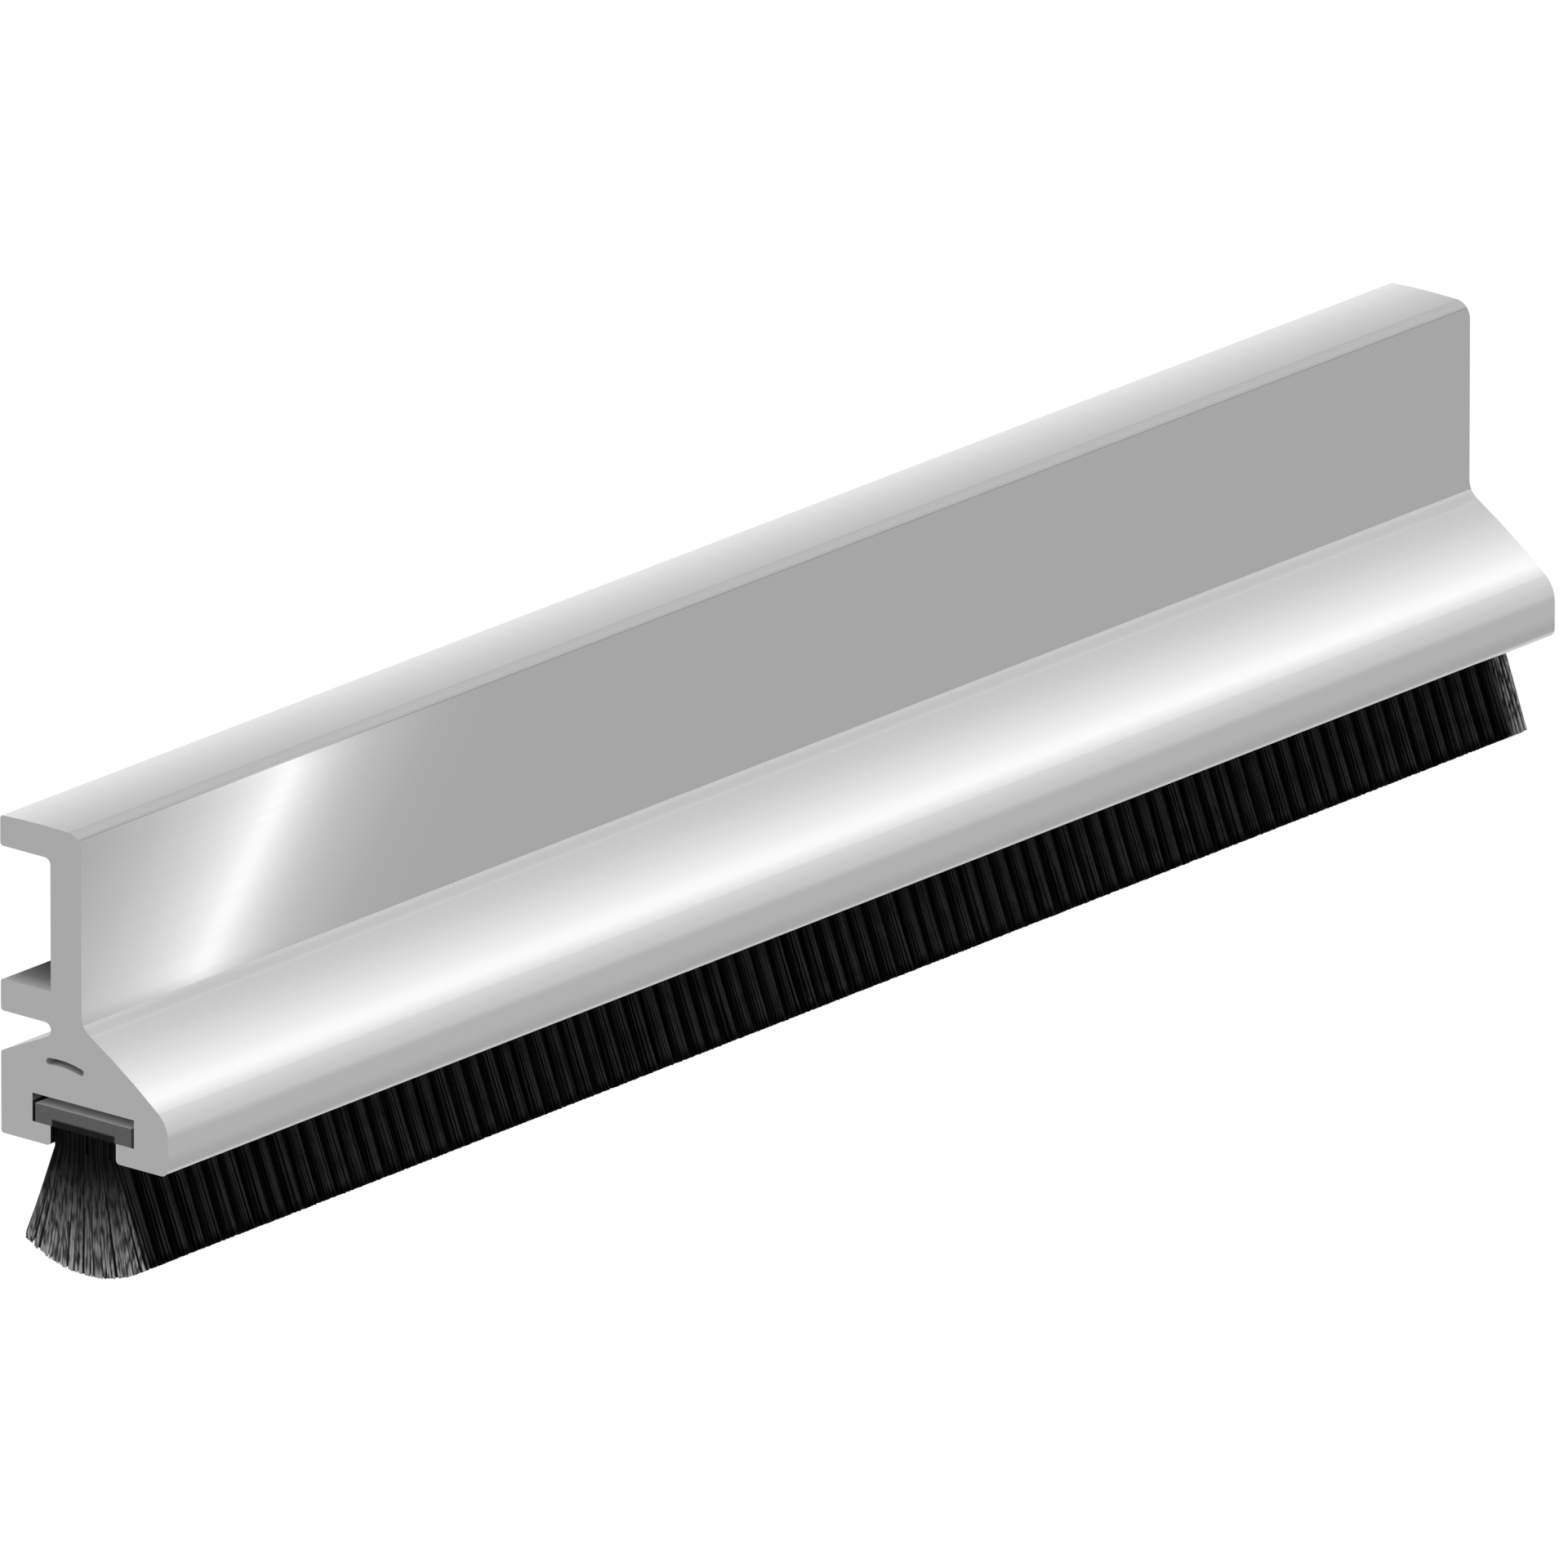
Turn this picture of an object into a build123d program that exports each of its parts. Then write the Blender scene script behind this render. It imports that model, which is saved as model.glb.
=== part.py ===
from build123d import *
import math
import os

# Door bottom seal strip: an extruded aluminium section that is fixed across the foot
# of a door, with a bristle brush slid into a T-slot on its underside.
#
# Millimetres. X runs along the strip, +Y points at the door and +Z is up. The origin
# lies on the plane that meets the door, half way along the strip and half way up the
# lowest of the three faces that bear on the door.

# Driving dimensions of the whole strip
length = 120.0

# Driving dimensions of the carrier section
web_reach = 5.8           # door plane to the front face of the upright web
web_thickness = 2.2
flange_thickness = 1.75   # top flange, from the web back to the door plane
flange_crown = 0.08       # rise of the flange's top above its own two edges
channel_height = 7.7      # clear height between the top flange and the middle leg
leg_thickness = 1.85
notch_mouth = 2.35        # gap at the door plane between the middle leg and the slot block
notch_depth = 3.6
notch_end_radius = 0.42
block_height = 4.75       # bearing face of the slot block
nose_reach = 6.2          # front face of the web to the front of the weather nose
nose_height = 3.0
slope_angle = 35.0        # fall of the weather face, below the horizontal
slope_crown = 0.15        # rise of the weather face above its own chord

top_corner_radius = 0.95
channel_corner_radius = 0.4
slope_root_radius = 1.15
nose_radius = 1.8
nose_foot_radius = 0.5
bearing_edge_radius = 0.2
lip_edge_radius = 0.25

# Driving dimensions of the thin slit above the slot
slit_gap = 0.38
slit_width = 2.7
slit_rise = 0.12          # how far the middle of the slit stands above its ends
slit_tilt = 4.0           # degrees, front end down
slit_cover = 2.0          # metal between the slit and the roof of the slot
slit_offset = 1.3         # middle of the slit, from the middle of the slot towards the door

# Driving dimensions of the brush insert and its fit in the slot
backing_width = 6.9
backing_thickness = 1.1
slot_side_clearance = 0.2
slot_head_clearance = 0.55
slot_setback = 5.9        # door plane to the middle of the slot
lip_thickness = 1.15
lip_opening = 4.7
bristle_side_clearance = 0.1
bristle_length = 8.25     # underside of the backing to the lowest tips
bristle_spread = 9.3      # across the trimmed ends
trim_radius = 8.0         # curve that the tips are trimmed to
tuft_pitch = 1.38
tuft_bulge_root = 0.1
tuft_bulge_tip = 0.3

# Levels and places that follow from them
block_top = block_height / 2
section_bottom = -block_height / 2
leg_bottom = block_top + notch_mouth
leg_top = leg_bottom + leg_thickness
flange_bottom = leg_top + channel_height
section_top = flange_bottom + flange_thickness
web_front = -web_reach
web_back = -web_reach + web_thickness
nose_front = web_front - nose_reach
nose_top = section_bottom + nose_height
slope_root = nose_top + nose_reach * math.tan(math.radians(slope_angle))

slot_middle = -slot_setback
slot_width = backing_width + 2 * slot_side_clearance
lip_top = section_bottom + lip_thickness
slot_top = lip_top + backing_thickness + slot_head_clearance

slit_middle = slot_middle + slit_offset
slit_level = slot_top + slit_cover

tip_level = lip_top - bristle_length
tuft_count = max(1, round(length / tuft_pitch))


def corner(face, y, z):
    # the vertex of a section that lies nearest to a place in it
    return min(face.vertices(), key=lambda v: (v.Y - y) ** 2 + (v.Z - z) ** 2)


def section_face(edges):
    return Plane.YZ * make_face(Curve() + edges)


def box_face(y0, y1, z0, z1):
    width, height = abs(y1 - y0), abs(z1 - z0)
    return Plane.YZ * Pos((y0 + y1) / 2, (z0 + z1) / 2) * Rectangle(width, height)


def flange_top():
    # barely crowned, from the door side to the front corner
    return SagittaArc((0, section_top), (web_front, section_top), -flange_crown)


def weather_face():
    # gently crowned slope that sheds water from the web to the nose
    return SagittaArc((web_front, slope_root), (nose_front, nose_top), -slope_crown)


def outer_outline():
    # door side, top, web front, slope, nose and underside, with no slots cut yet
    return section_face([
        Polyline((nose_front, nose_top), (nose_front, section_bottom), (0, section_bottom), (0, section_top)),
        flange_top(),
        Line((web_front, section_top), (web_front, slope_root)),
        weather_face(),
    ])


def notch():
    # wedge between the middle leg and the slot block, closed by a round end
    radius = notch_end_radius
    centre = Vector(radius - notch_depth, leg_bottom - radius)
    mouth = Vector(0, block_top)
    reach = (centre - mouth).length
    heading = math.atan2(centre.Y - mouth.Y, centre.X - mouth.X)
    heading += math.asin(radius / reach)
    run = math.sqrt(reach ** 2 - radius ** 2)
    touch = mouth + Vector(run * math.cos(heading), run * math.sin(heading))
    return section_face([
        Line(mouth, touch),
        ThreePointArc(touch, centre - Vector(radius, 0), centre + Vector(0, radius)),
        Polyline(centre + Vector(0, radius), (0, leg_bottom), mouth),
    ])


def slit():
    half = (slit_width - slit_gap) / 2
    line = ThreePointArc((-half, 0), (0, slit_rise), (half, 0))
    return Plane.YZ * Pos(slit_middle, slit_level) * Rot(0, 0, slit_tilt) * SlotArc(line, slit_gap)


def rounded(face, places, radius):
    return fillet([corner(face, y, z) for y, z in places], radius)


def carrier_section():
    half_opening = lip_opening / 2
    half_slot = slot_width / 2
    face = outer_outline()
    face -= box_face(0, web_back, leg_top, flange_bottom)
    face -= notch()
    face -= box_face(slot_middle - half_slot, slot_middle + half_slot, lip_top, slot_top)
    face -= box_face(slot_middle - half_opening, slot_middle + half_opening, section_bottom, lip_top)
    face -= slit()

    face = rounded(face, [(web_front, section_top)], top_corner_radius)
    face = rounded(face, [(web_back, flange_bottom)], channel_corner_radius)
    face = rounded(face, [(web_front, slope_root)], slope_root_radius)
    face = rounded(face, [(nose_front, nose_top)], nose_radius)
    face = rounded(face, [(nose_front, section_bottom)], nose_foot_radius)
    bearing_levels = (section_bottom, block_top, leg_bottom, leg_top, flange_bottom, section_top)
    face = rounded(face, [(0, level) for level in bearing_levels], bearing_edge_radius)
    lips = (slot_middle - half_opening, slot_middle + half_opening)
    return rounded(face, [(y, section_bottom) for y in lips], lip_edge_radius)


def along_strip(face):
    return extrude(Pos(-length / 2, 0, 0) * face, length, dir=(1, 0, 0))


def carrier_profile():
    return along_strip(carrier_section())


def brush_backing():
    # flat strip that rests on the lips of the slot
    half = backing_width / 2
    return along_strip(box_face(slot_middle - half, slot_middle + half, lip_top, lip_top + backing_thickness))


def tuft_outline(half_width, bulge, pitch, level):
    # one tuft seen from above, bulging out on the front and on the door side
    near, far = half_width - bulge, half_width
    outline = Curve() + [
        ThreePointArc((0, near), (pitch / 2, far), (pitch, near)),
        Line((pitch, near), (pitch, -near)),
        ThreePointArc((pitch, -near), (pitch / 2, -far), (0, -near)),
        Line((0, -near), (0, near)),
    ]
    return Pos(0, slot_middle, level) * make_face(outline)


def brush_bristles():
    # tufts pressed between the lips, fanned out below them and trimmed to a curve
    root_half = lip_opening / 2 - bristle_side_clearance
    corner_level = tip_level + trim_radius - math.sqrt(trim_radius ** 2 - (bristle_spread / 2) ** 2)
    fan = (bristle_spread / 2 - root_half) / (section_bottom - corner_level)
    tip_half = root_half + fan * (section_bottom - tip_level)
    pitch = length / tuft_count

    neck_outline = tuft_outline(root_half, tuft_bulge_root, pitch, section_bottom)
    tip_outline = tuft_outline(tip_half, tuft_bulge_tip, pitch, tip_level)
    neck = extrude(neck_outline, lip_thickness, dir=(0, 0, 1))
    tuft = neck + loft([neck_outline, tip_outline], ruled=True)

    trim_centre = tip_level + trim_radius
    trim = Plane.YZ * Pos(slot_middle, trim_centre) * Circle(trim_radius)
    trim += box_face(slot_middle - tip_half, slot_middle + tip_half, trim_centre, lip_top)
    tuft &= extrude(trim, pitch, dir=(1, 0, 0))

    starts = [-length / 2 + index * pitch for index in range(tuft_count)]
    tufts = [Pos(start, 0, 0) * tuft for start in starts]
    return tufts[0].fuse(*tufts[1:])


pieces = {
    "carrier_profile": carrier_profile,
    "brush_backing": brush_backing,
    "brush_bristles": brush_bristles,
}

os.makedirs("parts", exist_ok=True)
for name, make in pieces.items():
    export_step(make(), f"parts/{name}.step")
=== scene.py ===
import math
import bpy
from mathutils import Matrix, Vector


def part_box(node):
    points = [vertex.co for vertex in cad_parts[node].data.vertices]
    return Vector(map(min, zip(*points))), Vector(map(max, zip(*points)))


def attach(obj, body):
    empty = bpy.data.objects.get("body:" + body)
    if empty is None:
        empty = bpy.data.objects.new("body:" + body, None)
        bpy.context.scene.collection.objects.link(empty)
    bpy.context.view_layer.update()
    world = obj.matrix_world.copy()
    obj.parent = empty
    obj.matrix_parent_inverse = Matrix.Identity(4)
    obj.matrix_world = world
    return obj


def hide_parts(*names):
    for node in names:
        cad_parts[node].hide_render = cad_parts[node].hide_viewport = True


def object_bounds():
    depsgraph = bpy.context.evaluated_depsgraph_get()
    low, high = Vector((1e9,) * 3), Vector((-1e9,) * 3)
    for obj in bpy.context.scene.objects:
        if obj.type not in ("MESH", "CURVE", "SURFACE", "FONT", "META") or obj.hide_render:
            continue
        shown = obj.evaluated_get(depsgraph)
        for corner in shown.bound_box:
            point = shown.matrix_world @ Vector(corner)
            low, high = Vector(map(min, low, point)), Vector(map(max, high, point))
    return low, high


# Door bottom seal strip: extruded aluminium carrier, plastic-backed bristle brush.
# Metres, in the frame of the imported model: +X along the strip, +Y to the door, +Z up.
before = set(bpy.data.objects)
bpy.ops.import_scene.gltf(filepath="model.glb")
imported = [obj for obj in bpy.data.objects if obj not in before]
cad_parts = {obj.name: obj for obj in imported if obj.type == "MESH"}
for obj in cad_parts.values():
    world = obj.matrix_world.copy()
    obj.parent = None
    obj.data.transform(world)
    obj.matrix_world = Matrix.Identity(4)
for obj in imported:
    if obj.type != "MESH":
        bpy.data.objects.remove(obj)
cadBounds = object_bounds()
millimetre = 0.001

carrierLow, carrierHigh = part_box("carrier_profile")
backingLow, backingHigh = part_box("brush_backing")
bristleLow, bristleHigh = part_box("brush_bristles")


def linearFromHex(code):
    # sRGB hex to the linear colour that shaders want
    channels = [int(code[i:i + 2], 16) / 255 for i in (1, 3, 5)]
    linear = [c / 12.92 if c <= 0.04045 else ((c + 0.055) / 1.055) ** 2.4 for c in channels]
    return (*linear, 1.0)


def addNode(tree, kind, settings=None, inputs=None):
    # a node with its settings, and its inputs either set or linked
    node = tree.nodes.new(kind)
    for name, value in (settings or {}).items():
        setattr(node, name, value)
    for key, value in (inputs or {}).items():
        if isinstance(value, bpy.types.NodeSocket):
            tree.links.new(value, node.inputs[key])
        else:
            node.inputs[key].default_value = value
    return node


def newMaterial(name):
    material = bpy.data.materials.new(name)
    material.use_nodes = True
    material.node_tree.nodes.clear()
    return material, material.node_tree


# Carrier: extruded aluminium

aluminium = {
    "colour": "#C6C6C6",
    "roughness": 0.14,
    "roughnessSpread": 0.006,
    # die lines and saw marks are drawn coarser than real ones, which would be too fine to show
    "dieLineWidth": 0.25 * millimetre,
    "dieLineLength": 90 * millimetre,
    "dieLineDepth": 0.00005 * millimetre,
    "dieLineNoise": {"Scale": 1.0, "Detail": 2.0, "Roughness": 0.5},
    "dieLineBand": {"From Min": 0.3, "From Max": 0.7},   # of that noise, from smoothest to roughest
    "sawRoughness": 0.36,
    "sawLineWidth": 0.18 * millimetre,
    "sawLineLength": 0.7 * millimetre,
    "sawLineAngle": 18,            # degrees, from level
    "sawLineDepth": 0.002 * millimetre,
    "sawLineNoise": {"Scale": 1.0, "Detail": 2.0, "Roughness": 0.6},
    "sawnFacing": 0.9,             # how squarely a face has to look along X to be a sawn end
    # corners that the die leaves duller, with painted shade on the top corner and the root of the
    # slope and a painted highlight on the nose: place in the section, reach, share of the reach
    # that has the full effect, roughness and colour
    "corners": {
        "top": (-5.54 * millimetre, 15.77 * millimetre, 0.13 * millimetre, 0.6, 0.3, "#BABABA"),
        "root": (-6.25 * millimetre, 4.76 * millimetre, 0.5 * millimetre, 0.33, 0.42, "#C1C1C1"),
        "nose": (-12.2 * millimetre, -0.6 * millimetre, 1.2 * millimetre, 0.33, 0.22, "#D4D4D4"),
        # walls of the slit, which the thin tongue of the die leaves matt, painted a little paler
        # as painted light in the shade of the slit
        "slit": (-4.6 * millimetre, 2.425 * millimetre, 1.6 * millimetre, 0.9, 1.0, "#CACACA"),
    },
    # round faces: middle of the curve in the section and its radius, in millimetres, then
    # headings round that middle, each with the heading that the face has there, and 1 where
    # the face looks away from the middle or -1 where it looks towards it. Headings are in
    # degrees from straight up to the front. The two corners at the web turn more sharply
    # than their radius and run nearly flat beside that
    "curves": {
        "flangeTop": (-2.9, -36.498, 52.603, ((-3.09, -3.09), (2.31, 2.31)), 1),
        "top": (-4.85, 15.118, 0.95, ((1.88, 1.88), (12, 22), (46, 26), (48, 90.28), (90.28, 90.28)), 1),
        "slopeRoot": (-6.95, 5.617, 1.15,
                      ((-149.08, -149.08), (-119, -149.08), (-116.5, -89.68), (-89.68, -89.68)), -1),
        "slope": (18.441, -36.251, 47.816, ((31.23, 31.23), (38.49, 38.49)), 1),
        "nose": (-10.2, -0.234, 1.8, ((38.25, 38.25), (90.25, 90.25)), 1),
    },
    "curveSlack": 0.04 * millimetre,   # how far a facet may lie off its curve
}


def curvedNormal(tree, place):
    # the direction of the round faces by their curves, which their facets only come near
    normal = addNode(tree, "ShaderNodeNewGeometry").outputs["Normal"]
    for y, z, radius, turns, side in aluminium["curves"].values():
        start, end = turns[0][0], turns[-1][0]
        centre = (0, -y * millimetre, -z * millimetre)
        flat = addNode(tree, "ShaderNodeMapping", None,
                       {"Vector": place, "Location": centre, "Scale": (0, 1, 1)}).outputs[0]
        away = addNode(tree, "ShaderNodeVectorMath", {"operation": "LENGTH"}, {0: flat}).outputs["Value"]
        parts = addNode(tree, "ShaderNodeSeparateXYZ", None, {0: flat}).outputs
        front = addNode(tree, "ShaderNodeMath", {"operation": "MULTIPLY"},
                        {0: parts["Y"], 1: -1.0}).outputs[0]
        turn = addNode(tree, "ShaderNodeMath", {"operation": "ARCTAN2"},
                       {0: front, 1: parts["Z"]}).outputs[0]
        heading = addNode(tree, "ShaderNodeMath", {"operation": "DEGREES"}, {0: turn}).outputs[0]
        within = addNode(tree, "ShaderNodeMath", {"operation": "COMPARE"},
                         {0: heading, 1: (start + end) / 2, 2: (end - start) / 2}).outputs[0]
        level = addNode(tree, "ShaderNodeMath", {"operation": "COMPARE"},
                        {0: away, 1: radius * millimetre, 2: aluminium["curveSlack"]}).outputs[0]
        onCurve = addNode(tree, "ShaderNodeMath", {"operation": "MULTIPLY"},
                          {0: within, 1: level}).outputs[0]
        # the face's own heading goes evenly from that of each pair to that of the next
        faced = turns[0][1]
        for (fromHeading, fromFaced), (toHeading, toFaced) in zip(turns, turns[1:]):
            step = addNode(tree, "ShaderNodeMapRange", None,
                           {"Value": heading, "From Min": fromHeading, "From Max": toHeading,
                            "To Min": 0.0, "To Max": toFaced - fromFaced}).outputs[0]
            faced = addNode(tree, "ShaderNodeMath", {"operation": "ADD"}, {0: step, 1: faced}).outputs[0]
        faced = addNode(tree, "ShaderNodeMath", {"operation": "RADIANS"}, {0: faced}).outputs[0]
        sine = addNode(tree, "ShaderNodeMath", {"operation": "SINE"}, {0: faced}).outputs[0]
        cosine = addNode(tree, "ShaderNodeMath", {"operation": "COSINE"}, {0: faced}).outputs[0]
        turned = addNode(tree, "ShaderNodeCombineXYZ", None, {1: sine, 2: cosine}).outputs[0]
        outward = addNode(tree, "ShaderNodeVectorMath", {"operation": "MULTIPLY"},
                          {0: turned, 1: (0, -side, side)}).outputs[0]
        normal = addNode(tree, "ShaderNodeMix", {"data_type": "VECTOR"},
                         {"Factor": onCurve, 4: normal, 5: outward}).outputs[1]
    return normal


def extrudedAluminium():
    # mill-finish extruded 6060: a soft satin gleam drawn out along the die lines, and duller sawn ends
    material, tree = newMaterial("extrudedAluminiumMillFinish")
    place = addNode(tree, "ShaderNodeTexCoord").outputs["Object"]
    lineScale = (1 / aluminium["dieLineLength"], 1 / aluminium["dieLineWidth"], 1 / aluminium["dieLineWidth"])
    along = addNode(tree, "ShaderNodeMapping", None, {"Vector": place, "Scale": lineScale})
    dieLines = addNode(tree, "ShaderNodeTexNoise", None,
                       {"Vector": along.outputs[0], **aluminium["dieLineNoise"]})
    sawScale = (1.0, 1 / aluminium["sawLineLength"], 1 / aluminium["sawLineWidth"])
    sawTurn = (math.radians(aluminium["sawLineAngle"]), 0, 0)
    turned = addNode(tree, "ShaderNodeMapping", None, {"Vector": place, "Rotation": sawTurn})
    across = addNode(tree, "ShaderNodeMapping", None, {"Vector": turned.outputs[0], "Scale": sawScale})
    sawLines = addNode(tree, "ShaderNodeTexNoise", None,
                       {"Vector": across.outputs[0], **aluminium["sawLineNoise"]})
    # sawn ends are the faces that look along X
    normal = addNode(tree, "ShaderNodeNewGeometry").outputs["True Normal"]
    facing = addNode(tree, "ShaderNodeSeparateXYZ", None, {0: normal}).outputs["X"]
    facingSize = addNode(tree, "ShaderNodeMath", {"operation": "ABSOLUTE"}, {0: facing}).outputs[0]
    sawn = addNode(tree, "ShaderNodeMath", {"operation": "GREATER_THAN"},
                   {0: facingSize, 1: aluminium["sawnFacing"]}).outputs[0]

    smoothest = aluminium["roughness"] - aluminium["roughnessSpread"]
    roughest = aluminium["roughness"] + aluminium["roughnessSpread"]
    satin = addNode(tree, "ShaderNodeMapRange", None,
                    {"Value": dieLines.outputs["Fac"], **aluminium["dieLineBand"],
                     "To Min": smoothest, "To Max": roughest}).outputs[0]
    colour = linearFromHex(aluminium["colour"])
    notSawn = addNode(tree, "ShaderNodeMath", {"operation": "SUBTRACT"}, {0: 1.0, 1: sawn}).outputs[0]
    # near each corner the roughness rises and the colour is mixed in: painted shade at the top corner and the
    # root, painted light at the nose and the slit
    for y, z, reach, fullShare, cornerRoughness, cornerPaintedLight in aluminium["corners"].values():
        flat = addNode(tree, "ShaderNodeMapping", None,
                       {"Vector": place, "Location": (0, -y, -z), "Scale": (0, 1, 1)}).outputs[0]
        away = addNode(tree, "ShaderNodeVectorMath", {"operation": "LENGTH"}, {0: flat}).outputs["Value"]
        near = addNode(tree, "ShaderNodeMapRange", {"interpolation_type": "SMOOTHSTEP"},
                       {"Value": away, "From Min": reach, "From Max": reach * fullShare}).outputs[0]
        near = addNode(tree, "ShaderNodeMath", {"operation": "MULTIPLY"}, {0: near, 1: notSawn}).outputs[0]
        satin = addNode(tree, "ShaderNodeMix", {"data_type": "FLOAT"},
                        {"Factor": near, 2: satin, 3: cornerRoughness}).outputs[0]
        colour = addNode(tree, "ShaderNodeMix", {"data_type": "RGBA"},
                         {"Factor": near, 6: colour, 7: linearFromHex(cornerPaintedLight)}).outputs[2]
    roughness = addNode(tree, "ShaderNodeMix", {"data_type": "FLOAT"},
                        {"Factor": sawn, 2: satin, 3: aluminium["sawRoughness"]}).outputs[0]
    dieBump = addNode(tree, "ShaderNodeBump", None,
                      {"Distance": aluminium["dieLineDepth"], "Height": dieLines.outputs["Fac"],
                       "Normal": curvedNormal(tree, place)})
    sawBump = addNode(tree, "ShaderNodeBump", None,
                      {"Distance": aluminium["sawLineDepth"], "Height": sawLines.outputs["Fac"]})
    relief = addNode(tree, "ShaderNodeMix", {"data_type": "VECTOR"},
                     {"Factor": sawn, 4: dieBump.outputs[0], 5: sawBump.outputs[0]}).outputs[1]
    surface = addNode(tree, "ShaderNodeBsdfPrincipled", None,
                      {"Base Color": colour, "Metallic": 1.0,
                       "Roughness": roughness, "Normal": relief})
    addNode(tree, "ShaderNodeOutputMaterial", None, {"Surface": surface.outputs[0]})
    return material


# Backing of the brush: dark grey plastic strip

backing = {
    "colour": "#626262",
    "paleColour": "#727272",
    "upperFacePaintedLightColour": "#DCDCDC",       # its upper face, painted pale: painted light in the shaded gap above it
    "weldColour": "#080808",         # bristle plastic melted into its underside
    "weldHeight": 0.34 * millimetre,
    "weldHalf": 2.2 * millimetre,    # half its width
    "weldSoftness": 0.12 * millimetre,
    "topFacing": 0.9,                # how squarely a face has to look up to be the upper face
    "roughness": 0.5,
    "ior": 1.49,
    "gloss": 0.15,                   # specular level of its waxy, matt skin
    "grainWidth": 0.3 * millimetre,
    "grainLength": 33 * millimetre,
    "grainDepth": 0.006 * millimetre,
    "grainNoise": {"Scale": 1.0, "Detail": 4.0, "Roughness": 0.6},
}


def backingPlastic():
    # extruded polypropylene, dark grey and waxy, with faint lines from its die and a black weld below
    material, tree = newMaterial("extrudedPolypropyleneGrey")
    place = addNode(tree, "ShaderNodeTexCoord").outputs["Object"]
    scale = (1 / backing["grainLength"], 1 / backing["grainWidth"], 1 / backing["grainWidth"])
    along = addNode(tree, "ShaderNodeMapping", None, {"Vector": place, "Scale": scale})
    grain = addNode(tree, "ShaderNodeTexNoise", None,
                    {"Vector": along.outputs[0], **backing["grainNoise"]})
    colour = addNode(tree, "ShaderNodeMix", {"data_type": "RGBA"},
                     {"Factor": grain.outputs["Fac"], 6: linearFromHex(backing["colour"]),
                      7: linearFromHex(backing["paleColour"])}).outputs[2]

    # painted light: the upper face, in the shade of the gap above it, is painted pale
    normal = addNode(tree, "ShaderNodeNewGeometry").outputs["True Normal"]
    facingUp = addNode(tree, "ShaderNodeSeparateXYZ", None, {0: normal}).outputs["Z"]
    upperFacePaintedLight = addNode(tree, "ShaderNodeMath", {"operation": "GREATER_THAN"},
                     {0: facingUp, 1: backing["topFacing"]}).outputs[0]
    colour = addNode(tree, "ShaderNodeMix", {"data_type": "RGBA"},
                     {"Factor": upperFacePaintedLight, 6: colour, 7: linearFromHex(backing["upperFacePaintedLightColour"])}).outputs[2]

    underMiddle = (0, -(backingLow.y + backingHigh.y) / 2, -backingLow.z)
    fromUnder = addNode(tree, "ShaderNodeMapping", None, {"Vector": place, "Location": underMiddle})
    parts = addNode(tree, "ShaderNodeSeparateXYZ", None, {0: fromUnder.outputs[0]}).outputs
    aside = addNode(tree, "ShaderNodeMath", {"operation": "ABSOLUTE"}, {0: parts["Y"]}).outputs[0]
    low = addNode(tree, "ShaderNodeMapRange", None,
                  {"Value": parts["Z"], "From Min": backing["weldHeight"] + backing["weldSoftness"],
                   "From Max": backing["weldHeight"]}).outputs[0]
    inside = addNode(tree, "ShaderNodeMapRange", None,
                     {"Value": aside, "From Min": backing["weldHalf"] + backing["weldSoftness"],
                      "From Max": backing["weldHalf"]}).outputs[0]
    weld = addNode(tree, "ShaderNodeMath", {"operation": "MULTIPLY"}, {0: low, 1: inside}).outputs[0]
    colour = addNode(tree, "ShaderNodeMix", {"data_type": "RGBA"},
                     {"Factor": weld, 6: colour, 7: linearFromHex(backing["weldColour"])}).outputs[2]
    bump = addNode(tree, "ShaderNodeBump", None,
                   {"Distance": backing["grainDepth"], "Height": grain.outputs["Fac"]})
    surface = addNode(tree, "ShaderNodeBsdfPrincipled", None,
                      {"Base Color": colour, "Roughness": backing["roughness"], "IOR": backing["ior"],
                       "Specular IOR Level": backing["gloss"], "Normal": bump.outputs[0]})
    addNode(tree, "ShaderNodeOutputMaterial", None, {"Surface": surface.outputs[0]})
    return material


def dress(node, material):
    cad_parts[node].data.materials.clear()
    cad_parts[node].data.materials.append(material)


dress("carrier_profile", extrudedAluminium())
dress("brush_backing", backingPlastic())
print("carrier and backing finished")


# Brush: every filament stands on the backing, is straight between the lips of the
# slot, fans out below them and is trimmed to a curve

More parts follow.
